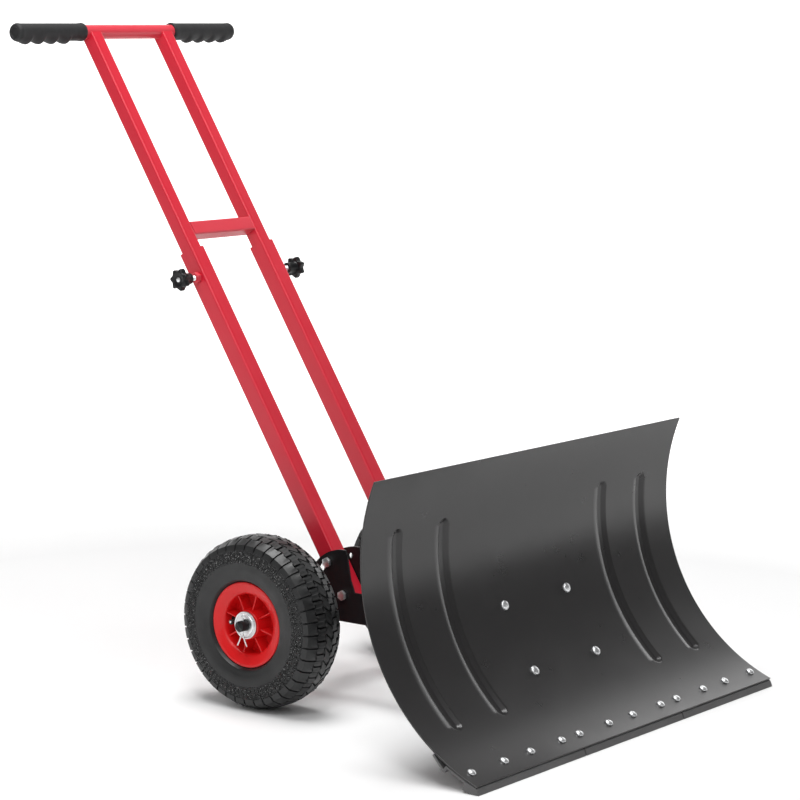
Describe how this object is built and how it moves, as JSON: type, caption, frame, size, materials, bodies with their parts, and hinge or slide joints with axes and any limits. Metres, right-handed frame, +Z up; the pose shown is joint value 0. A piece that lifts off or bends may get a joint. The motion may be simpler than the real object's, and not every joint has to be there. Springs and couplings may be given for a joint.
{
  "type": "wheeled snow shovel",
  "caption": "Curved steel snow blade on a two-wheeled carriage with a leaning telescopic handle, crossbar grips and clamping star knobs.",
  "frame": {"origin": "on the ground under the middle of the bounding box", "axes": "+Z up, +Y toward the person pushing, the blade toward -Y, +X to the left of that person"},
  "size_m": [0.764, 0.9744, 0.9837],
  "materials": {
    "blade": "satin dark grey paint over rolled sheet steel, with fine scuffs",
    "wear_strip": "matt black moulded wear bar",
    "zinc_fastener": "bright zinc plated steel",
    "black_steel": "semi-gloss black powder coat",
    "red_tube": "gloss red powder coat",
    "red_rim": "gloss red moulded and painted rim",
    "grip_rubber": "matt black moulded rubber with a fine grain",
    "knob_plastic": "satin black moulded plastic",
    "tyre_rubber": "matt black tyre rubber with a knurled shoulder band",
    "tube_rubber": "smooth black butyl rubber, with the valve stem moulded on",
    "bush_plastic": "off-white nylon"
  },
  "bodies": {
    "chassis": {"blade": "blade", "wear_strip_left": "wear_strip", "wear_strip_centre": "wear_strip", "wear_strip_right": "wear_strip", "strip_bolt_01": "zinc_fastener", "strip_bolt_02": "zinc_fastener", "strip_bolt_03": "zinc_fastener", "strip_bolt_04": "zinc_fastener", "strip_bolt_05": "zinc_fastener", "strip_bolt_06": "zinc_fastener", "strip_bolt_07": "zinc_fastener", "strip_bolt_08": "zinc_fastener", "strip_bolt_09": "zinc_fastener", "strip_bolt_10": "zinc_fastener", "strip_bolt_11": "zinc_fastener", "strip_bolt_12": "zinc_fastener", "blade_bolt_1": "zinc_fastener", "blade_bolt_2": "zinc_fastener", "blade_bolt_3": "zinc_fastener", "blade_bolt_4": "zinc_fastener", "arm_outer_plate_left": "black_steel", "arm_outer_plate_right": "black_steel", "arm_inner_plate_left": "black_steel", "arm_inner_plate_right": "black_steel", "arm_web_left": "black_steel", "arm_web_right": "black_steel", "blade_pad_left": "black_steel", "blade_pad_right": "black_steel", "axle_rod": "black_steel", "axle_spacer_tube": "black_steel", "wheel_spacer_left": "black_steel", "wheel_spacer_right": "black_steel", "axle_washer_left": "zinc_fastener", "axle_washer_right": "zinc_fastener", "cotter_pin_left": "zinc_fastener", "cotter_pin_right": "zinc_fastener", "pivot_bolt_left": "zinc_fastener", "pivot_bolt_right": "zinc_fastener"},
    "wheel_left": {"tyre_left": "tyre_rubber", "inner_tube_left": "tube_rubber", "rim_left": "red_rim", "hub_bush_left": "bush_plastic"},
    "wheel_right": {"tyre_right": "tyre_rubber", "inner_tube_right": "tube_rubber", "rim_right": "red_rim", "hub_bush_right": "bush_plastic"},
    "handle_lower": {"lower_tube_left": "red_tube", "lower_tube_right": "red_tube", "angle_bolt_left": "zinc_fastener", "angle_bolt_right": "zinc_fastener"},
    "handle_upper": {"upper_tube_left": "red_tube", "upper_tube_right": "red_tube", "crossbar": "red_tube", "brace": "red_tube", "grip_left": "grip_rubber", "grip_right": "grip_rubber"},
    "knob_left_screw": {"knob_left": "knob_plastic", "knob_stud_left": "zinc_fastener"},
    "knob_right_screw": {"knob_right": "knob_plastic", "knob_stud_right": "zinc_fastener"}
  },
  "joints": [
    {"name": "wheel_left_spin", "type": "hinge", "parent": "chassis", "child": "wheel_left", "pos_m": [-0.1965, 0.03405, 0.127], "axis": [1, 0, 0], "continuous": true},
    {"name": "wheel_right_spin", "type": "hinge", "parent": "chassis", "child": "wheel_right", "pos_m": [0.1965, 0.03405, 0.127], "axis": [1, 0, 0], "continuous": true},
    {"name": "handle_tilt", "type": "hinge", "parent": "chassis", "child": "handle_lower", "pos_m": [0, -0.04017, 0.15918], "axis": [1, 0, 0], "range_deg": [-25, 0]},
    {"name": "handle_height", "type": "slide", "parent": "handle_lower", "child": "handle_upper", "axis": [0, 0.5349, 0.8449], "range_m": [-0.02, 0.15]},
    {"name": "knob_left_turn", "type": "hinge", "parent": "handle_lower", "child": "knob_left_screw", "pos_m": [-0.1355, 0.24293, 0.60629], "axis": [1, 0, 0], "continuous": true},
    {"name": "knob_right_turn", "type": "hinge", "parent": "handle_lower", "child": "knob_right_screw", "pos_m": [0.1355, 0.24293, 0.60629], "axis": [1, 0, 0], "continuous": true}
  ]
}
